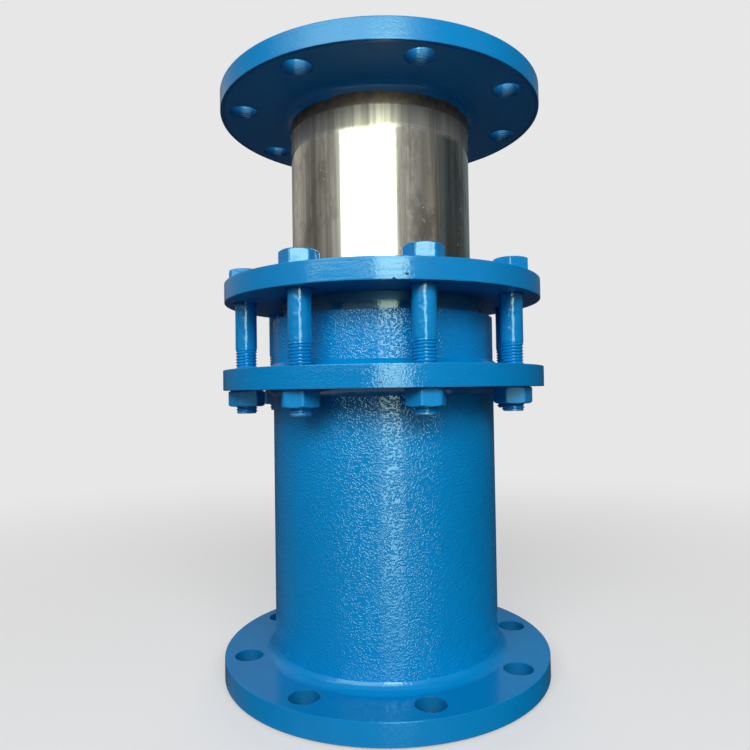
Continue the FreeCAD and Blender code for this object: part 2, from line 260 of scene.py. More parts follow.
KINDS = {"Steps": "Int", "Facets": "Int", "Count": "Int", "Skin": "Material", "Part": "Object"}
SWEEP_INPUTS = ("Middle Radius", "Rounding", "Rounding Steps", "Facets")


def geometry_tree(name, *labels):
    tree = bpy.data.node_groups.new(name, "GeometryNodeTree")
    for label in ("Geometry", *labels):
        kind = "Geometry" if label == "Geometry" else KINDS.get(label.split()[-1], "Float")
        tree.interface.new_socket(label, in_out="INPUT", socket_type="NodeSocket" + kind)
    tree.interface.new_socket("Geometry", in_out="OUTPUT", socket_type="NodeSocketGeometry")
    graph = Graph(tree)
    entry = tree.nodes.new("NodeGroupInput")
    return graph, SimpleNamespace(**{
        plain(socket.name): Wire(graph, socket)
        for socket in entry.outputs if socket.name})


def swept_tree():
    """Carries a half section, drawn as edges at (radius, height), round the pipe axis."""
    graph, given = geometry_tree("swept_section", *SWEEP_INPUTS)
    curve = graph.geo("FilletCurve", graph.geo("MeshToCurve", given.geometry), mode="POLY",
                      Count=given.rounding_steps, Radius=given.rounding, Limit_Radius=True)
    flipped = graph.geo("InputPosition").vector("MULTIPLY", (1.0, -1.0, 0.0))
    shifted = flipped.vector("SUBTRACT", graph.combine(given.middle_radius, 0.0, 0.0))
    curve = graph.geo("SetPosition", curve, Position=shifted)
    path = graph.geo("CurvePrimitiveCircle", Resolution=given.facets, Radius=given.middle_radius)
    path = graph.geo("SetCurveNormal", path, mode="Z_UP")
    mesh = graph.geo("CurveToMesh", path, curve)
    graph.node("NodeGroupOutput", graph.geo("MergeByDistance", mesh, Distance=0.001 * MM))
    return graph.tree


def plain(label):
    """An input's label as a Python name."""
    return label.lower().replace(" ", "_")


def start_swept(name, sweep, *labels):
    """Start a tree whose body is its input section carried round the axis."""
    graph, given = geometry_tree(name, *SWEEP_INPUTS, *labels, "Skin")
    body = graph.geo("Group", given.geometry, given.middle_radius, given.rounding,
                     given.rounding_steps, given.facets, node_tree=sweep)
    return graph, given, body


def painted(body, material, selection=True):
    return body.into("GeometryNodeSetMaterial", selection, material)


def placed(body, x, y, z):
    return body.into("GeometryNodeSetPosition", Position=body.graph.combine(x, y, z))


def end_tree(body, material, selection=True):
    """Finish a tree with plain geometry and its material."""
    body = body.into("GeometryNodeRealizeInstances")
    painted(body, material, selection).into("NodeGroupOutput")
    return body.graph.tree


def plate_tree(sweep):
    """A turned plate or tube with a bare bore and face, drilled on the bolt circle."""
    graph, given, body = start_swept(
        "turned_plate", sweep, "Hole Count", "Hole Circle", "Hole Radius", "First Hole",
        "Hole Lip", "Middle Height", "Thickness", "Bare Bore Radius", "Bare Face Height",
        "Bare Skin", "Hole Skin")
    body = painted(body, given.skin)

    # The drill is a unit cylinder with two rows between its ends; the ends flare out to
    # countersink the hole and stand clear of the plate.
    clear = 1.0 * MM
    drill = graph.geo("MeshCylinder", fill_type="NGON", Vertices=48, Side_Segments=3,
                      Radius=1.0, Depth=3.0)
    x, y, z, radius, _turn = graph.polar()
    flare = (abs(z) > 1.0) * (given.hole_lip + clear)
    wide = given.hole_radius + flare
    reach = given.thickness * 0.5 - given.hole_lip + flare
    drill = painted(placed(drill, x * wide, y * wide, z.math("SIGN") * reach), given.hole_skin)
    circle = graph.geo("MeshCircle", Vertices=given.hole_count, Radius=given.hole_circle)
    circle = graph.geo("Transform", circle, Rotation=graph.combine(0.0, 0.0, given.first_hole),
                       Translation=graph.combine(0.0, 0.0, given.middle_height))
    drills = graph.geo("InstanceOnPoints", circle, Instance=drill)
    drilled = graph.geo("MeshBoolean", body, graph.geo("RealizeInstances", drills),
                        operation="DIFFERENCE", solver="EXACT")
    result = graph.geo("Switch", given.hole_circle > 0.0, input_type="GEOMETRY",
                       **{"False": body, "True": drilled})

    in_bore = radius < given.bare_bore_radius
    on_face = abs(z - given.bare_face_height) < 0.05 * MM
    return end_tree(result, given.bare_skin, in_bore.math("MAXIMUM", on_face))


def bead_tree(sweep):
    """A weld bead: a swept fillet that swells and ripples about its root as it goes round."""
    graph, given, body = start_swept(
        "weld_bead", sweep, "Root Radius", "Root Height", "Ripple Pitch", "Ripple Depth",
        "Crescent", "Swell", "Seed")
    x, y, z, radius, turn = graph.polar()
    out = radius - given.root_radius
    up = z - given.root_height
    lean = abs(up).math("ARCTAN2", abs(out)) * (4.0 / math.pi) - 1.0
    ripples = (given.root_radius * FULL_TURN / given.ripple_pitch).math("ROUND")
    phase = turn * ripples + lean * lean * given.crescent
    ripple = abs((phase * 0.5).math("SINE"))
    swell = graph.combine(x * 40.0, y * 40.0, given.seed).noise(1.0, 3.0) - 0.5
    grow = 1.0 + swell * given.swell + (ripple - 0.6) * given.ripple_depth
    share = (given.root_radius + out * grow) / radius
    body = placed(body, x * share, y * share, given.root_height + up * grow)
    return end_tree(body, given.skin)


def hexagon_tree(sweep):
    """Pulls the wide rows of a swept head or nut out to a bevelled hexagon."""
    graph, given, body = start_swept(
        "hexagon_piece", sweep, "Half Flats", "Face Radius", "Bevel Slope", "Corner Cut",
        "Middle Height", "Lower Bevel")
    x, y, z, radius, turn = graph.polar()
    flat = radius / turn.math("PINGPONG", HALF_FLAT).math("COSINE")
    flat = flat.math("MINIMUM", radius * (given.corner_cut / given.half_flats))
    wide = radius > given.face_radius + 0.05 * MM
    new_radius = wide.mix(radius, flat)
    share = new_radius / radius.math("MAXIMUM", 0.01 * MM)
    side = (z - given.middle_height).math("SIGN")
    drop = (new_radius - given.face_radius) * given.bevel_slope * wide
    drop = drop * (1.0 - (side < 0.0) * (1.0 - given.lower_bevel))
    return end_tree(placed(body, x * share, y * share, z - side * drop), given.skin)


def thread_tree(sweep):
    """Cuts a right-hand thread, with run-out and a chamfered point, into a swept shank."""
    graph, given, body = start_swept(
        "threaded_shank", sweep, "Crest Radius", "Pitch", "Depth", "Thread Top", "Thread End",
        "Run Out", "Point Radius")
    crest_flat, flank = 0.14, 0.62
    x, y, z, radius, turn = graph.polar()
    phase = (z / given.pitch - turn / FULL_TURN).math("FRACT")
    valley = 1.0 - abs(phase * 2.0 - 1.0)
    cut = (valley - crest_flat).math("DIVIDE", flank, clamp=True)
    fade = (given.thread_top - z).math("DIVIDE", given.run_out, clamp=True)
    threaded = given.crest_radius - given.depth * cut * fade
    threaded = threaded.math("MINIMUM", given.point_radius + (z - given.thread_end))
    on_thread = (radius > given.point_radius + 0.01 * MM) * (z < given.thread_top)
    share = on_thread.mix(radius, threaded) / radius.math("MAXIMUM", 0.01 * MM)
    return end_tree(placed(body, x * share, y * share, z), given.skin)


def bolt_tree():
    """Hexagon bolts on points, made of a head and a shank and turned by an attribute."""
    graph, given = geometry_tree("gland_bolts", "Head Part", "Shank Part", "Skin")
    parts = [graph.geo("ObjectInfo", part, output=4)
             for part in (given.head_part, given.shank_part)]
    turn = graph.geo("InputNamedAttribute", "turn", data_type="FLOAT")
    bolts = graph.geo("InstanceOnPoints", given.geometry, Rotation=graph.combine(0.0, 0.0, turn),
                      Instance=graph.geo("JoinGeometry", parts))
    return end_tree(bolts, given.skin)


def braid_tree(sweep):
    """Square packing rope: rounded rings with a crossed diagonal lay on every side."""
    graph, given, body = start_swept(
        "packing_rope", sweep, "Ring Count", "Ring Height", "Strand Pitch", "Strand Depth")
    ring_turn = 1.5
    _x, _y, z, radius, turn = graph.polar()
    wave = FULL_TURN / given.strand_pitch
    around = turn * (given.middle_radius * wave).math("ROUND")
    over = (radius + z) * wave
    lay = (around + over).math("SINE") * (around - over).math("SINE")
    depth = (lay - 1.0) * (given.strand_depth * 0.5)
    offset = graph.geo("InputNormal").vector("SCALE", Scale=depth)
    body = graph.geo("SetPosition", body, Offset=offset)
    stack = graph.geo("MeshLine", Count=given.ring_count,
                      Offset=graph.combine(0.0, 0.0, given.ring_height))
    turned = graph.combine(0.0, 0.0, graph.geo("InputIndex") * ring_turn)
    rings = graph.geo("InstanceOnPoints", stack, Instance=body, Rotation=turned)
    return end_tree(rings, given.skin)


# Objects

FINISHES = {}
TREES = {}
SLOTS = {"plate": "blue_paint", "shell": "blue_paint", "bead": "blue_paint",
         "sleeve": "polished_sleeve", "steel": "bare_steel"}
EDGE_BREAK = 0.3 * MM
NO_FACE = -1.0  # a height that no face is at


def link(name, data):
    piece = bpy.data.objects.new(name, data)
    bpy.context.scene.collection.objects.link(piece)
    return piece


def section(name, points, closed=True):
    """A half section as edges through (radius, height) points in metres."""
    mesh = bpy.data.meshes.new(name)
    count = len(points)
    edges = [(index, (index + 1) % count) for index in range(count if closed else count - 1)]
    mesh.from_pydata([(*point, 0.0) for point in points], edges, [])
    return link(name, mesh)


def run_tree(piece, kind, rounding=0.0, rounding_steps=1, **values):
    """Set the named inputs, evaluate once, and keep the result as the piece's plain mesh."""
    values.update(rounding=rounding, rounding_steps=rounding_steps)
    tree = TREES[kind]
    modifier = piece.modifiers.new(tree.name, "NODES")
    modifier.node_group = tree
    for item in tree.interface.items_tree:
        value = values.get(plain(item.name))
        if item.in_out == "INPUT" and value is not None:
            modifier[item.identifier] = FINISHES[value] if isinstance(value, str) else value
    bpy.context.view_layer.update()
    depsgraph = bpy.context.evaluated_depsgraph_get()
    mesh = bpy.data.meshes.new_from_object(piece.evaluated_get(depsgraph))
    piece.modifiers.remove(modifier)
    if not mesh.polygons:
        raise RuntimeError(piece.name + " came out with no faces")
    mesh.name = piece.name
    piece.data = mesh
    return piece


def stand_for(piece, body, slot, *nodes, crease):
    """Finish a piece that moves with a body and is shown in place of CAD nodes.

    Faces point outwards, and are shaded smooth up to the crease, an angle in degrees.
    """
    shape = bmesh.new()
    shape.from_mesh(piece.data)
    if shape.calc_volume(signed=True) < 0.0:
        bmesh.ops.reverse_faces(shape, faces=shape.faces)
    shape.to_mesh(piece.data)
    shape.free()
    piece.data.shade_smooth()
    piece.data.set_sharp_from_angle(angle=math.radians(crease))
    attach(piece, body)
    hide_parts(*nodes)


# Finishes

@dataclass
class Look:
    """What a finish shows at each point, as wires or numbers."""
    colour: object
    roughness: object
    metallic: object
    height: object
    gloss: dict = field(default_factory=dict)

    def under(self, mask, other):
        """This look where the mask is 0, the other where it is 1."""
        mixed = [mask.mix(getattr(self, name), getattr(other, name))
                 for name in ("roughness", "metallic", "height")]
        return Look(mask.colour(self.colour, other.colour), *mixed, self.gloss)


def new_material(name):
    material = bpy.data.materials.new(name)
    material.use_nodes = True
    material.node_tree.nodes.clear()
    return material, Graph(material.node_tree)


def object_space(graph, output=3):
    return graph.node("ShaderNodeTexCoord", output=output)


def make_finish(name, paint, colours, **values):
    """A material whose look is given by a function of Object coordinates."""
    material, graph = new_material(name)
    look = paint(object_space(graph), colours, **values)
    bump = graph.node("ShaderNodeBump", Strength=1.0, Distance=1.0, Height=look.height)
    surface = graph.node("ShaderNodeBsdfPrincipled", look.colour, look.metallic, look.roughness,
                         Normal=bump, **look.gloss)
    graph.node("ShaderNodeOutputMaterial", surface)
    return material


ENAMEL_GLOSS = {"Specular_IOR_Level": 0.50, "Specular_Tint": (0.78, 1.0, 1.0, 1.0)}
CHIPS = (((0.0275, -0.1352, 0.3165), 1.6 * MM), ((0.0362, -0.1332, 0.3200), 1.2 * MM))


def enamel(place, colours, peel, brush=0.0, sag=0.0, chipped=False, dull_and_painted_shade=True):
    """Thick sky-blue enamel: orange peel, brush marks round the rims and a few chips.

    Peel, brush and sag are heights in millimetres. The last switch makes the enamel duller
    under the two upper flanges, and adds painted shade between the casing top and the gland
    flange: there the colour is mixed towards the dark primer colour.
    """
    x, y, z = place.axes()
    radius = across(x, y)
    cloud = place.noise(11.0, 3.0)
    tone = (cloud - 0.5) * 0.30 + (place.noise(70.0) - 0.5) * 0.12
    colour = tone.step(-0.10, 0.12).colour(colours.enamel_thin, colours.enamel)
    on_rim = radius.step(*near(CROWN.rim, -4.5, -3.0))
    strokes = place.grain(16.0, 520.0, 3.0, 0.6) * on_rim
    pebbles = 1.0 - place.into("ShaderNodeTexVoronoi", Scale=600.0).step(0.06, 0.66)
    on_box = on_rim * z.band(*near(BOX.under, -1.4, -0.4, 17.6, 18.6))
    height = (pebbles * (on_box * 0.05 + peel) + strokes * brush
              + place.noise(330.0, 1.0) * 0.07 + place.noise(150.0, 1.0) * sag) * MM
    roughness = 0.12 + (cloud - 0.5) * 0.10 + strokes.step(0.50, 0.64) * (brush * 3.0)
    if dull_and_painted_shade:
        smear = x.band(-0.030, -0.018, -0.002, 0.012) * (1.0 - y.step(-0.12, -0.10)) * on_rim
        smear = smear * z.band(*near(GLAND.under, 1.5, 3.5, 13.5, 15.5))
        roughness = roughness + smear * strokes.step(0.44, 0.56) * 0.40
        inside = 1.0 - on_rim
        under_gland = z.band(*near(GLAND.under, -8.0, -5.0, 1.0, 3.5)) * inside
        under_crown = z.band(*near(CROWN.under, -3.0, -1.5, 1.5, 3.5)) * inside
        roughness = (under_gland + under_crown).mix(roughness, 0.50)
        # Painted shade: between the casing top and the gland flange, the pusher and the gland flange's underside
        # are mixed 55 % towards the dark primer colour.
        pusher_painted_shade = z.band(*near(SHELL.top, 0.7, 3.7), *near(GLAND.under, 1.0, 3.5)) * inside
        outside = radius.step(*near(SHELL.rim, 1.0, 2.0)) * (1.0 - under_gland)
        colour = (pusher_painted_shade * (1.0 - outside) * 0.55).colour(colour, colours.primer)
    if chipped:
        chip = place.vector("ADD", (3.1, 1.7, 0.4)).noise(75.0, 3.0, 0.75).step(0.725, 0.735)
        ragged = (place.noise(700.0) - 0.5) * (2.4 * MM)
        for spot, reach in CHIPS:
            away = place.vector("DISTANCE", spot, output=1) + ragged
            chip = chip.math("MAXIMUM", 1.0 - away.step(reach - 0.3 * MM, reach))
        colour = chip.colour(colour, colours.primer)
        roughness = chip.mix(roughness, 0.6)
        height = height - chip * (0.06 * MM)
    return Look(colour, roughness, 0.0, height, ENAMEL_GLOSS)


def drilled_enamel(place, colours):
    """Enamel over the rings that the drill left in a bolt hole, with painted shade in the base flange's holes."""
    look = enamel(place, colours, peel=0.01, dull_and_painted_shade=False)
    z = place.axes()[2]
    # Painted shade: holes in the base flange are mixed 35 % towards the dark primer colour.
    low = 1.0 - z.step(*near(BASE.top, 0.5, 10.5))
    look.colour = (low * 0.35).colour(look.colour, colours.primer)
    rings = (z * (FULL_TURN / (1.9 * MM)) + place.noise(120.0, 1.0) * 3.0).math("SINE")
    look.height = look.height + rings * (0.05 * MM)
    return look


def fastener_enamel(place, colours, sag, dullness):
    """Enamel on bolts and nuts, worn through at the bolts' points."""
    look = enamel(place, colours, peel=0.003, sag=sag, dull_and_painted_shade=False)
    look.roughness = look.roughness + dullness
    ragged = (place.noise(260.0) - 0.5) * (2.4 * MM)
    bare = 1.0 - (place.axes()[2] + ragged).step(*near(BOLT.under, 1.0, 1.4))
    return look.under(bare * 0.35, Look(colours.bare, 0.34, 1.0, place.noise(700.0) * (0.02 * MM)))


def turned_steel(place, colours):
    """Turned bare steel: fine concentric marks and a little oil stain."""
    x, y, z = place.axes()
    marks = ((across(x, y) + z) * (FULL_TURN / (0.55 * MM))).math("SINE")
    stain = place.noise(32.0, 4.0, 0.6)
    colour = stain.step(0.42, 0.72).colour(colours.bare, colours.stain)
    return Look(colour, 0.30 + stain * 0.22, 1.0, marks * (0.006 * MM) + stain * (0.02 * MM))


def mill_skin(place, colours):
    """The dull mill skin inside the tubes."""
    cloud = place.noise(24.0, 5.0, 0.65)
    speck = place.noise(260.0, 3.0)
    colour = cloud.step(0.40, 0.66).colour(colours.mill_skin, colours.stain)
    return Look(colour, 0.48 + speck * 0.2, 0.55, cloud * (0.15 * MM) + speck * (0.05 * MM))


def graphite(place, colours):
    fibre = place.vector("MULTIPLY", (1.0, 1.0, 3.0)).noise(900.0, 3.0)
    colour = fibre.colour(colours.graphite, colours.stain)
    return Look(colour, 0.42 + fibre * 0.2, 0.35, fibre * (0.08 * MM))


def polished_sleeve(place, colours):
    """Polished steel, a heat-browned band above the turned step, and enamel above that."""
    z = place.axes()[2]
    streaks = place.grain(170.0, 4.0, 4.0, 0.65)
    wide = place.grain(45.0, 2.5, 3.0, 0.6)
    smudge = place.grain(50.0, 26.0, 4.0, 0.7).step(0.47, 0.66)
    fleck = place.noise(190.0, 3.0, 0.7).step(0.60, 0.72) * smudge
    tint = wide.step(0.45, 0.60).colour(colours.polished, colours.polished_warm)
    for share, stain in (
            (place.grain(60.0, 6.0, 2.0).step(0.52, 0.66) * 0.45, colours.polished_green),
            (place.grain(120.0, 5.0, 2.0).step(0.56, 0.68) * 0.60, colours.polished_brown),
            (streaks.step(0.48, 0.64) * 0.75, colours.polished_dull),
            (smudge * 0.78, colours.polished_dull)):
        tint = share.colour(tint, stain)
    roughness = 0.05 + streaks * 0.06 + smudge * 0.06 + fleck * 0.16
    ripple = (streaks * 0.010 + wide * 0.040 + fleck * 0.02) * MM
    bright = Look(tint, roughness, 1.0, ripple)

    # A brushed zone under the step, and haze in the smudges
    wander = (place.grain(35.0, 10.0, 3.0) - 0.5) * (7.0 * MM)
    below_step = (z + wander).step(*near(STEP_LINE, -21.0, -14.0))
    satin = wide.step(0.40, 0.62).colour(colours.polished_dull, colours.polished_warm)
    satin = (streaks.step(0.40, 0.70) * 0.4 + 0.55).colour(satin, colours.mill_skin)
    bright = bright.under(below_step * 0.92, Look(satin, 0.42, 0.40, ripple))
    bright = bright.under(fleck * 0.40, Look(colours.polished, 0.45, 0.2, ripple))

    scale = place.noise(130.0, 4.0, 0.65)
    oxide = scale.step(0.38, 0.66).colour(colours.heat_brown, colours.heat_dark)
    faded = 1.0 - z.step(*near(STEP_LINE, 0.0, 7.0))
    oxide = (faded * 0.18).colour(oxide, colours.polished_dull)
    burnt = Look(oxide, 0.40 + scale * 0.15, 0.3, scale * (0.05 * MM))

    ragged = (place.grain(60.0, 30.0, 4.0, 0.6) - 0.5) * (9.0 * MM)
    above_paint = (z + ragged).step(*near(PAINT_LINE, -0.3, 0.3))
    above_paint = above_paint * (1.0 - z.step(*near(SLEEVE.top, -4.5, -4.0)))
    coated = enamel(place, colours, peel=0.03, brush=0.01, dull_and_painted_shade=False)
    above_step = z.step(*near(STEP_LINE, -0.1, 0.3))
    return bright.under(above_step, burnt).under(above_paint, coated)


# Settings

def number(name, text, default, **more):
    return bpy.props.FloatProperty(name=name, description=text, default=default, min=0.0, **more)


def length(name, text, default):
    return number(name, text, default, precision=5, unit="LENGTH")


def shade(name, text, default):
    return bpy.props.FloatVectorProperty(name=name, description=text, default=default, size=3,
                                         min=0.0, max=1.0, subtype="COLOR")


class JointSizes(bpy.types.PropertyGroup):
    """Sizes of what the frame leaves to the looks."""
    rim_rounding: length("Rim rounding", "Softening of the flange rims under paint", 0.0006)
    edge_rounding: length("Edge rounding", "Softening of tube ends", 0.0004)
    hole_lip: length("Hole lip", "Countersink at the edges of the bolt holes", 0.0006)
    ripple_pitch: length("Ripple pitch", "Spacing of the ripples on the weld beads", 0.0034)
    ripple_depth: number("Ripple depth", "Ripple height as a share of the bead", 0.012,
                         subtype="FACTOR")
    bead_swell: number("Bead swell", "Slow change in size along a bead", 0.16,
                       subtype="FACTOR")
    thread_depth: length("Thread depth", "Depth of the painted bolt thread", 0.00105)
    thread_run_out: length("Run-out", "Length over which the thread fades", 0.003)
    thread_length: length("Thread length", "Threaded end of each gland bolt", 0.0545)
    strand_pitch: length("Strand pitch", "Lay of the packing rope", 0.006)
    strand_depth: length("Strand depth", "Depth between strands of the packing rope", 0.0004)


class JointColours(bpy.types.PropertyGroup):
    """Colours of the finishes."""
    enamel: shade("Enamel", "Sky-blue enamel where it is thick", (0.0, 0.232, 0.560))
    enamel_thin: shade("Thin enamel", "Enamel where it is thin", (0.0, 0.198, 0.492))
    # Primer shows in the chips; the same dark colour is also mixed in as painted shade under the gland flange and
    # in the base flange's bolt holes.
    primer: shade("Primer", "Dark primer that shows in chips", (0.004, 0.018, 0.040))
    polished: shade("Polished steel", "The sliding face of the sleeve", (0.68, 0.675, 0.65))
    polished_warm: shade("Warm steel", "Faint straw tint on the sleeve", (0.68, 0.63, 0.56))
    polished_green: shade("Cool steel", "Cool streaks on the sleeve", (0.46, 0.52, 0.48))
    polished_brown: shade("Brown steel", "Thin brown streaks on the sleeve", (0.50, 0.39, 0.29))
    polished_dull: shade("Dull steel", "Streaks and smudges on the sleeve", (0.34, 0.335, 0.31))
    heat_brown: shade("Heat brown", "Oxide next to the flange weld", (0.115, 0.070, 0.048))
    heat_dark: shade("Heat dark", "Darker oxide next to the flange weld", (0.035, 0.026, 0.024))
    bare: shade("Bare steel", "Machined faces and bolt points", (0.50, 0.48, 0.45))
    stain: shade("Stain", "Oil and light rust on bare steel", (0.16, 0.11, 0.075))
    mill_skin: shade("Mill skin", "Inside of the tubes", (0.13, 0.12, 0.115))
    graphite: shade("Graphite", "Packing rope", (0.045, 0.045, 0.05))


class StudioSettings(bpy.types.PropertyGroup):
    """Camera, lights and floor."""
    lens: number("Lens", "Focal length in millimetres on a 36 mm sensor", 30.36)
    backdrop: number("Backdrop", "Level of the pale backdrop", 0.80)
    fill: number("Fill", "Level of the soft light all round", 1.15)
    key: number("Key", "Level of the soft front light", 7.0)
    back: number("Back", "Level of the soft rear light", 2.2)
    glint: number("Glint", "Level of the window in reflections", 12.0)


# Operators

class PieceOperator:
    """What the operators share."""
    bl_options = {"REGISTER", "UNDO"}


# Finishes: key, name of the material, the function that paints it and its values
FINISH_LIST = (
    ("plate", "enamel_plate", enamel, {"peel": 0.030, "brush": 0.040, "chipped": True}),
    ("shell", "enamel_shell", enamel, {"peel": 0.310}),
    ("bead", "enamel_bead", enamel, {"peel": 0.020}),
    ("hole", "enamel_hole", drilled_enamel, {}),
    ("fastener", "enamel_bolt", fastener_enamel, {"sag": 0.46, "dullness": 0.02}),
    ("nut", "enamel_nut", fastener_enamel, {"sag": 0.04, "dullness": 0.33}),
    ("sleeve", "polished_sleeve", polished_sleeve, {}),
    ("steel", "turned_steel", turned_steel, {}),
    ("pipe", "mill_skin", mill_skin, {}),
    ("rope", "graphite_rope", graphite, {}),
)


class JOINT_OT_finishes(PieceOperator, bpy.types.Operator):
    """Make the finishes and the Geometry Nodes trees that the other operators use"""
    bl_idname = "joint.finishes"
    bl_label = "Finishes and Trees"

    def execute(self, context):
        for key, name, paint, values in FINISH_LIST:
            FINISHES[key] = make_finish(name, paint, context.scene.joint_colours, **values)
        sweep = swept_tree()
        TREES.update(bolts=bolt_tree(), **{name: grow(sweep) for name, grow in (
            ("plate", plate_tree), ("bead", bead_tree), ("hexagon", hexagon_tree),
            ("thread", thread_tree), ("rope", braid_tree))})
        return {"FINISHED"}


def held(points, margin=1.0 * MM):
    """The section with a row added near each corner, so that long faces shade true."""
    rows = []
    for index, corner in enumerate(points):
        start = Vector(corner)
        along = Vector(points[(index + 1) % len(points)]) - start
        rows.append(start)
        if along.length > 4.0 * margin:
            inset = along.normalized() * margin
            rows += [start + inset, start + along - inset]
    return rows


def make_turned(node, body, name, points, rounding, skin, bore_skin="steel",
                bare_face=NO_FACE, hole=0.0, lip=0.0):
    """Make a plate or tube with a bare bore and, if asked, bolt holes."""
    points = points or Ring(node).corners()
    first = BOLT_AXES[0]
    radii = [across for across, _up in points]
    sides = [up for across, up in points if across == max(radii)]
    piece = run_tree(
        section(name, held(points)), "plate", middle_radius=sum(radii) / len(radii), facets=256,
        rounding=rounding, rounding_steps=3, hole_count=len(BOLT_AXES), hole_radius=hole,
        hole_circle=first.length if hole else 0.0, first_hole=math.atan2(first.y, first.x),
        hole_lip=lip, middle_height=(max(sides) + min(sides)) / 2.0,
        thickness=max(sides) - min(sides), bare_bore_radius=min(radii) + 0.2 * MM,
        bare_face_height=bare_face, skin=skin, bare_skin=bore_skin, hole_skin="hole")
    stand_for(piece, body, SLOTS[skin], node, crease=28.0)


def end_section(ring, sealing, back):
    """Section of an end flange with a raised sealing face."""
    face = max(across for across, up in spokes("casing_flange") if up < 0.1 * MM)
    step = sealing + math.copysign(2.0 * MM, back - sealing)
    return [(ring.bore, sealing), (face, sealing), (face, step), (ring.rim, step),
            (ring.rim, back), (ring.bore, back)]


class JOINT_OT_flanges(PieceOperator, bpy.types.Operator):
    """Make the two end flanges, the stuffing box flange and the gland flange"""
    bl_idname = "joint.flanges"
    bl_label = "Flanges"

    def execute(self, context):
        sizes = context.scene.joint_sizes
        weld = Ring("gland_weld")
        grooved = [*GLAND.corners()[:3], (weld.rim, GLAND.top),
                   (GLAND.bore, weld.under + 0.3 * MM)]
        for node, body, name, points, bare_face in (
                ("casing_flange", "casing", "casing_end_flange",
                 end_section(BASE, BASE.under, BASE.top), BASE.under),
                ("sleeve_flange", "sleeve", "sleeve_end_flange",
                 end_section(CROWN, CROWN.top, CROWN.under), CROWN.top),
                ("stuffing_box_flange", "casing", "stuffing_box_plate", None, NO_FACE),
                ("gland_flange", "gland", "gland_plate", grooved, NO_FACE)):
            hole = min(across for across, _up in spokes(node, BOLT_AXES[0]))
            make_turned(node, body, name, points, sizes.rim_rounding, "plate",
                        bare_face=bare_face, hole=hole, lip=sizes.hole_lip)
        return {"FINISHED"}


class JOINT_OT_tubes(PieceOperator, bpy.types.Operator):
    """Make the casing tube, the sliding sleeve, the gland's pusher and the inner rings"""
    bl_idname = "joint.tubes"
    bl_label = "Tubes and Rings"

    def execute(self, context):
        edge = context.scene.joint_sizes.edge_rounding
        lead = 1.5 * MM
        casing = [*SHELL.corners()[:3], (SHELL.bore + lead, SHELL.top),
                  (SHELL.bore, SHELL.top - lead)]
        heights = sorted({round(up, 6) for _across, up in spokes("sleeve_tube")})
        foot, land_top, step_top = heights[0], heights[-3], heights[-2]
        land = max(across for across, up in spokes("sleeve_tube")
                   if abs(up - land_top) < 0.01 * MM)
        sleeve = [(SLEEVE.bore, foot), (land - lead, foot), (land, foot + lead),
                  (land, land_top), (SLEEVE.rim, step_top), (SLEEVE.rim, SLEEVE.top),
                  (SLEEVE.bore, SLEEVE.top)]
        for values in (
                ("casing_tube", "casing", "casing_shell", casing, edge, "shell", "pipe"),
                ("sleeve_tube", "sleeve", "sliding_sleeve", sleeve, 0.15 * MM, "sleeve", "pipe"),
                ("gland_pusher", "gland", "gland_pusher_tube", None, edge, "bead"),
                ("packing_seat_ring", "casing", "packing_seat", None, edge, "steel"),
                ("stop_ring", "sleeve", "sleeve_stop", None, edge, "steel")):
            make_turned(*values)
        return {"FINISHED"}


# Weld beads: CAD node, body, name, side of the root they lie on (outwards and upwards), how
# far the middle stands out in millimetres, finish
BEADS = (
    ("casing_flange_weld", "casing", "casing_flange_bead", 1, 1, -1.4, "bead"),
    ("stuffing_box_lower_weld", "casing", "box_lower_bead", 1, -1, 0.55, "bead"),
    ("stuffing_box_upper_weld", "casing", "box_upper_bead", 1, 1, 0.55, "bead"),
    ("sleeve_flange_weld", "sleeve", "sleeve_flange_bead", 1, -1, -1.0, "bead"),
    ("sleeve_face_weld", "sleeve", "sleeve_face_bead", -1, 1, 0.5, "steel"),
    ("gland_weld", "gland", "gland_bead", 1, 1, 0.7, "bead"),
    ("packing_seat_weld", "casing", "packing_seat_bead", -1, -1, 0.3, "steel"),
    ("stop_ring_weld", "sleeve", "sleeve_stop_bead", 1, -1, 0.3, "steel"),
)


class JOINT_OT_beads(PieceOperator, bpy.types.Operator):
    """Lay the weld beads"""
    bl_idname = "joint.beads"
    bl_label = "Weld Beads"

    def execute(self, context):
        sizes = context.scene.joint_sizes
        sunk = 0.25 * MM
        steps = 9
        for seed, (node, body, name, outward, upward, crown, skin) in enumerate(BEADS):
            ring = Ring(node)
            root, toe = (ring.bore, ring.rim) if outward > 0 else (ring.rim, ring.bore)
            base, tip = (ring.under, ring.top) if upward > 0 else (ring.top, ring.under)
            in_groove = node == "gland_weld"
            start, end = Vector((toe, tip if in_groove else base)), Vector((root, tip))
            normal = Vector((end.y - start.y, start.x - end.x)).normalized()
            if (start - Vector((root, base))).dot(normal) < 0.0:
                normal = -normal
            points = [(root - outward * sunk, base if in_groove else base - upward * sunk)]
            for along in (index / steps for index in range(steps + 1)):
                bulge = crown * MM * 4.0 * along * (1.0 - along)
                points.append(start.lerp(end, along) + normal * bulge)
            piece = run_tree(
                section(name, points), "bead", middle_radius=(root + toe) / 2.0, facets=900,
                root_radius=points[0][0], root_height=points[0][1],
                ripple_pitch=sizes.ripple_pitch, ripple_depth=sizes.ripple_depth, crescent=1.2,
                swell=sizes.bead_swell, seed=float(seed), skin=skin)
            stand_for(piece, body, SLOTS[skin], node, crease=40.0)
        return {"FINISHED"}


def make_hexagon(name, points, closed, shape, middle, lower_bevel, skin):
    """A head or nut from its section and the four numbers of hexagon_sizes."""
    half_flats, corner, face, bevel = shape
    return run_tree(
        section(name, points, closed), "hexagon", middle_radius=half_flats / 2.0, facets=120,
        half_flats=half_flats, face_radius=face, bevel_slope=bevel / (corner - face),
        corner_cut=corner - 0.35 * MM, middle_height=middle, lower_bevel=lower_bevel, skin=skin)


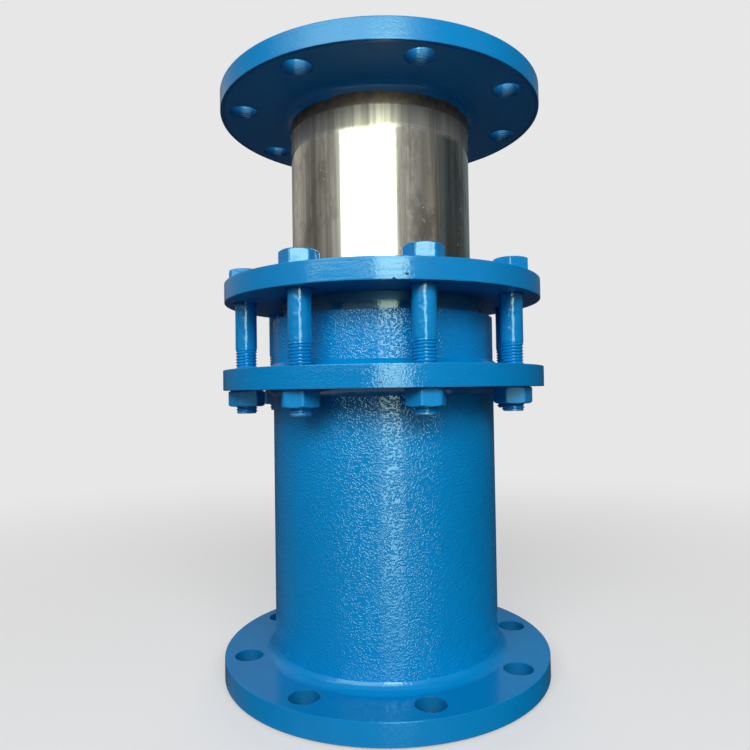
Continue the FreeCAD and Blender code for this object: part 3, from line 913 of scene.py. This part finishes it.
class JOINT_OT_bolts(PieceOperator, bpy.types.Operator):
    """Make the eight gland bolts with their threads"""
    bl_idname = "joint.bolts"
    bl_label = "Gland Bolts"

    def execute(self, context):
        sizes = context.scene.joint_sizes
        nodes = ["gland_bolt_%d" % (index + 1) for index in range(len(BOLT_AXES))]
        half_flats, _corner, face, _bevel = shape = hexagon_sizes(nodes[0], BOLT_AXES[0])
        seat, top, point = GLAND.top, BOLT.top, BOLT.under
        head = make_hexagon("bolt_head", [
            (0.0, top), (face, top), (half_flats - EDGE_BREAK, top),
            (half_flats, top - EDGE_BREAK), (half_flats, seat + EDGE_BREAK),
            (half_flats - EDGE_BREAK, seat), (6.0 * MM, seat), (0.0, seat),
        ], False, shape, (seat + top) / 2.0, 0.0, "fastener")

        rays = spokes(nodes[0], BOLT_AXES[0])
        tip, crest, shank = (max(across for across, up in rays if up < below)
                             for below in (point + 0.01 * MM, point + 2.0 * MM, seat - 0.01 * MM))
        thread = sizes.thread_length
        thread_top = point + thread
        rows = int(thread / (THREAD_PITCH / 8.0))
        points = [(0.0, seat + 1.0 * MM)]
        points += [(shank, up) for up in near(seat, 1.0, -2.0) + near(thread_top, 1.6, 0.6)]
        points.append((crest, thread_top + 0.1 * MM))
        points += [(crest, thread_top - thread * row / rows) for row in range(rows)]
        points += [(crest, point + 0.02 * MM), (tip, point), (0.0, point)]
        body = run_tree(
            section("bolt_shank", points, False), "thread", middle_radius=crest / 2.0, facets=40,
            crest_radius=crest, pitch=THREAD_PITCH, depth=sizes.thread_depth,
            thread_top=thread_top, thread_end=point, run_out=sizes.thread_run_out,
            point_radius=tip, skin="fastener")

        mesh = bpy.data.meshes.new("gland_bolt_set")
        mesh.from_pydata([(*axis, 0.0) for axis in BOLT_AXES], [], [])
        turns = [hexagon_turn(node, axis) for node, axis in zip(nodes, BOLT_AXES)]
        mesh.attributes.new("turn", "FLOAT", "POINT").data.foreach_set("value", turns)
        piece = run_tree(link("gland_bolt_set", mesh), "bolts", head_part=head, shank_part=body,
                         skin="fastener")
        bpy.data.objects.remove(head)
        bpy.data.objects.remove(body)
        stand_for(piece, "gland", "blue_paint", *nodes, crease=24.0)
        return {"FINISHED"}


class JOINT_OT_nuts(PieceOperator, bpy.types.Operator):
    """Make the eight gland nuts, one for each body"""
    bl_idname = "joint.nuts"
    bl_label = "Gland Nuts"

    def execute(self, context):
        sink = 0.7 * MM
        for joint, axis in zip(NUT_JOINTS, BOLT_AXES):
            node = joint["child"]
            ring = Ring(node)
            half_flats, _corner, face, _bevel = shape = hexagon_sizes(node, axis)
            bore = min(across for across, _up in spokes(node, axis))
            lower = [(bore, ring.under + sink), (bore + sink, ring.under), (face, ring.under),
                     (half_flats - EDGE_BREAK, ring.under), (half_flats, ring.under + EDGE_BREAK)]
            upper = [(across, ring.under + ring.top - up) for across, up in reversed(lower)]
            piece = make_hexagon(node + "_piece", lower + upper, True, shape,
                                 (ring.under + ring.top) / 2.0, 1.0, "nut")
            turned = Matrix.Rotation(hexagon_turn(node, axis), 4, "Z")
            piece.data.transform(Matrix.Translation((*axis, 0.0)) @ turned)
            stand_for(piece, node, "blue_paint", node, crease=24.0)
        return {"FINISHED"}


class JOINT_OT_packing(PieceOperator, bpy.types.Operator):
    """Lay the graphite packing rope in the stuffing box"""
    bl_idname = "joint.packing"
    bl_label = "Packing"

    def execute(self, context):
        sizes = context.scene.joint_sizes
        nodes = sorted(node for node in frame["nodes"] if node.startswith("packing_ring_"))
        first, last = Ring(nodes[0]), Ring(nodes[-1])
        low, high = first.under, first.top
        slack, parts = 0.15 * MM, 8
        corners = [Vector((across, up)) for across, up in (
            (first.bore + slack, low + slack), (first.rim - slack, low + slack),
            (first.rim - slack, high - slack), (first.bore + slack, high - slack))]
        points = [corner.lerp(corners[(index + 1) % 4], part / parts)
                  for index, corner in enumerate(corners) for part in range(parts)]
        piece = run_tree(
            section("packing_rope", points), "rope", facets=480, skin="rope",
            middle_radius=(first.bore + first.rim) / 2.0, ring_count=len(nodes),
            ring_height=high - low, strand_pitch=sizes.strand_pitch,
            strand_depth=sizes.strand_depth)
        stand_for(piece, "casing", "graphite_packing", *nodes, crease=60.0)
        joint = next(joint for joint in frame["joints"] if joint["name"] == "gland_slide")
        stack = last.top - low
        keep = (stack + joint["range_m"][0]) / stack
        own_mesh(piece)
        return {"FINISHED"}


# Studio

CAMERA_PLACE = (0.07775, -0.5620, 0.2409)
CAMERA_TURN = (8.6, 1.39, 0.86)  # degrees: yaw, pitch and roll from a level view along +Y

# Grey cards on the reflection wall: azimuth in degrees from the front, and level
WALL_CARDS = (
    (-180, 0.30), (-142, 0.26), (-130, 0.50), (-118, 0.48), (-102, 0.34), (-86, 0.20),
    (-71, 0.28), (-58, 0.44), (-45, 0.70), (36, 0.70), (40, 0.60), (51, 0.36), (62, 0.25),
    (74, 0.30), (87, 0.14), (101, 0.07), (118, 0.07), (139, 0.14), (180, 0.30),
)
# Bright panes: the azimuths between which they rise and fall
WINDOW = (-43.0, -38.0, 25.0, 28.0)
HAZE = (-76.0, -18.0, 14.0, 44.0)
STRIP = (3.0, 6.0, 23.0, 26.0)
# The strip is broken where the stuffing box flange would mirror it
STRIP_GAP = (0.165, 0.180, 0.245, 0.250)


def looked_at_ray(graph):
    """1 for camera, glossy and transmission rays."""
    camera, glossy, through = (graph.node("ShaderNodeLightPath", output="Is %s Ray" % kind)
                               for kind in ("Camera", "Glossy", "Transmission"))
    return camera.math("MAXIMUM", glossy).math("MAXIMUM", through)


def floor_material(name, seen, felt, backdrop):
    """Pale where it is looked at, duller to diffuse light, and one with the backdrop far away."""
    material, graph = new_material(name)
    looked_at = looked_at_ray(graph)
    paper = graph.node("ShaderNodeBsdfDiffuse", looked_at.colour((felt,) * 3, (seen,) * 3))
    glow = graph.node("ShaderNodeEmission", rgba((backdrop,) * 3))
    far = object_space(graph).vector("LENGTH", output=1)
    faded = far.step(0.22, 1.35).mix(0.40, 1.0) * looked_at
    surface = graph.node("ShaderNodeMixShader", faded, paper, glow)
    graph.node("ShaderNodeOutputMaterial", surface)
    return material


def wall_material(name, glint, roof):
    """A ring of grey cards with a window and a strip of light in front, under a grey roof."""
    material, graph = new_material(name)
    material.cycles.emission_sampling = "NONE"
    x, y, z = object_space(graph).axes()
    turn = x.math("ARCTAN2", 0.0 - y) * (180.0 / math.pi)
    cards = graph.node("ShaderNodeValToRGB", (turn + 180.0) / 360.0)
    stops = cards.socket.node.color_ramp.elements
    given = len(stops)
    for index, (angle, tone) in enumerate(WALL_CARDS):
        place = (angle + 180.0) / 360.0
        stop = stops[index] if index < given else stops.new(place)
        stop.position = place
        stop.color = rgba((tone,) * 3)
    cards = cards.times(turn.step(70.0, 105.0).colour((1.0, 0.96, 0.88), (0.80, 1.0, 1.06)))
    upper = z.step(1.36, 1.50)
    shown = z.step(0.30, 0.95) * (1.0 - upper * 0.5) + (1.0 - z.step(-1.10, -0.75)) * 0.4
    shown = shown * 0.84 + 0.16
    cards = cards.times(graph.combine(shown, shown, shown))

    window = upper.mix(turn.band(*WINDOW) * 0.30, turn.band(*HAZE) * 0.36) * z.step(0.59, 0.72)
    strip = turn.band(*STRIP) * (1.0 - z.band(*STRIP_GAP)) * (1.0 - upper) * 0.72
    strip = strip * (z + 0.95).math("DIVIDE", 0.90, clamp=True)
    rear = 1.0 - abs(turn + 172.0).step(3.0, 6.0)
    bright = (window + strip) * (1.0 - z.step(1.8, 2.1)) + rear * z.step(0.0, 0.1) * 0.15
    bright = bright * glint
    glow = graph.combine(bright, bright, bright).times((0.96, 1.06, 0.80))
    level = z.step(*near(roof, -20.0, -10.0)).colour(cards.vector("ADD", glow), (0.35,) * 3)
    graph.node("ShaderNodeOutputMaterial", graph.node("ShaderNodeEmission", level))
    return material


def reflection_wall(glint):
    """A roofed ring round the stage that only glossy rays see."""
    radius, low, high, count = 2.0, -2.5, 4.0, 72
    angles = [FULL_TURN * index / count for index in range(count)]
    points = [(radius * math.cos(angle), radius * math.sin(angle), height)
              for height in (low, high) for angle in angles]
    faces = [(index, (index + 1) % count, count + (index + 1) % count, count + index)
             for index in range(count)]
    faces.append(tuple(range(count, 2 * count)))
    mesh = bpy.data.meshes.new("reflection_wall")
    mesh.from_pydata(points, [], faces)
    mesh.materials.append(wall_material("wall_cards", glint, high))
    wall = link("reflection_wall", mesh)
    for ray in ("camera", "diffuse", "shadow", "transmission"):
        setattr(wall, "visible_" + ray, False)


def panel_light(name, centre, aim, size, radiance):
    """A soft area light of a given radiance that isn't seen in reflections."""
    light = bpy.data.lights.new(name, "AREA")
    light.shape = "RECTANGLE"
    light.size, light.size_y = size
    light.energy = radiance * math.pi * size[0] * size[1]
    lamp = link(name, light)
    towards = Vector(aim) - Vector(centre)
    lamp.matrix_world = (Matrix.Translation(centre)
                         @ towards.to_track_quat("-Z", "Y").to_matrix().to_4x4())
    lamp.visible_camera = False
    lamp.visible_glossy = False


class JOINT_OT_studio(PieceOperator, bpy.types.Operator):
    """Set up the camera, the floor, the backdrop and the lights"""
    bl_idname = "joint.studio"
    bl_label = "Studio"

    def execute(self, context):
        scene = context.scene
        studio = scene.joint_studio
        scene.view_settings.view_transform = "Standard"

        lens = bpy.data.cameras.new("camera")
        lens.lens = studio.lens
        lens.sensor_width = 36.0
        lens.clip_start = 0.01
        camera = link("camera", lens)
        turn = Matrix.Identity(4)
        for angle, axis in zip((*CAMERA_TURN, 90.0), "ZXYX"):
            turn = turn @ Matrix.Rotation(math.radians(angle), 4, axis)
        camera.matrix_world = Matrix.Translation(CAMERA_PLACE) @ turn
        scene.camera = camera

        bpy.ops.mesh.primitive_grid_add(x_subdivisions=40, y_subdivisions=40, size=24.0,
                                        location=(0.0, 0.0, 0.0))
        floor = context.active_object
        floor.name = "floor"
        floor.data.materials.append(floor_material("floor_paper", 0.92, 0.03, studio.backdrop))
        floor.visible_glossy = False

        world = bpy.data.worlds.new("studio_air")
        world.use_nodes = True
        world.node_tree.nodes.clear()
        graph = Graph(world.node_tree)
        rise = object_space(graph, 0).axes()[2]
        shut = 1.0 - rise.math("MAXIMUM", 0.0)
        strength = looked_at_ray(graph).mix(studio.fill * shut * shut, studio.backdrop)
        air = graph.node("ShaderNodeBackground", rgba((1.0,) * 3), strength)
        graph.node("ShaderNodeOutputWorld", air)
        scene.world = world

        panel_light("key_softbox", (0.25, -2.2, 1.50), (0.0, 0.0, 0.30), (3.4, 1.0), studio.key)
        panel_light("back_softbox", (-0.3, 2.4, 1.10), (0.0, 0.0, 0.25), (3.0, 1.0), studio.back)
        reflection_wall(studio.glint)
        return {"FINISHED"}


# Registration

OPERATORS = (
    JOINT_OT_studio,
    JOINT_OT_finishes,
    JOINT_OT_flanges,
    JOINT_OT_tubes,
    JOINT_OT_beads,
    JOINT_OT_bolts,
    JOINT_OT_nuts,
    JOINT_OT_packing,
)
SETTINGS = {"joint_sizes": JointSizes, "joint_colours": JointColours,
            "joint_studio": StudioSettings}


class JOINT_PT_panel(bpy.types.Panel):
    """Lists the joint's operators and settings"""
    bl_idname = "JOINT_PT_panel"
    bl_label = "Expansion Joint"
    bl_space_type = "VIEW_3D"
    bl_region_type = "UI"
    bl_category = "Expansion Joint"

    def draw(self, context):
        for operator in OPERATORS:
            self.layout.operator(operator.bl_idname)
        for key, group in SETTINGS.items():
            box = self.layout.box()
            for name in group.__annotations__:
                box.prop(getattr(context.scene, key), name)


CLASSES = (*SETTINGS.values(), *OPERATORS, JOINT_PT_panel)


def register():
    for item in CLASSES:
        bpy.utils.register_class(item)
    for key, group in SETTINGS.items():
        setattr(bpy.types.Scene, key, bpy.props.PointerProperty(type=group))


def unregister():
    for key in SETTINGS:
        delattr(bpy.types.Scene, key)
    for item in reversed(CLASSES):
        bpy.utils.unregister_class(item)


def main():
    register()
    for operator in OPERATORS:
        getattr(bpy.ops.joint, operator.bl_idname.split(".")[1])()


if __name__ == "__main__":
    main()
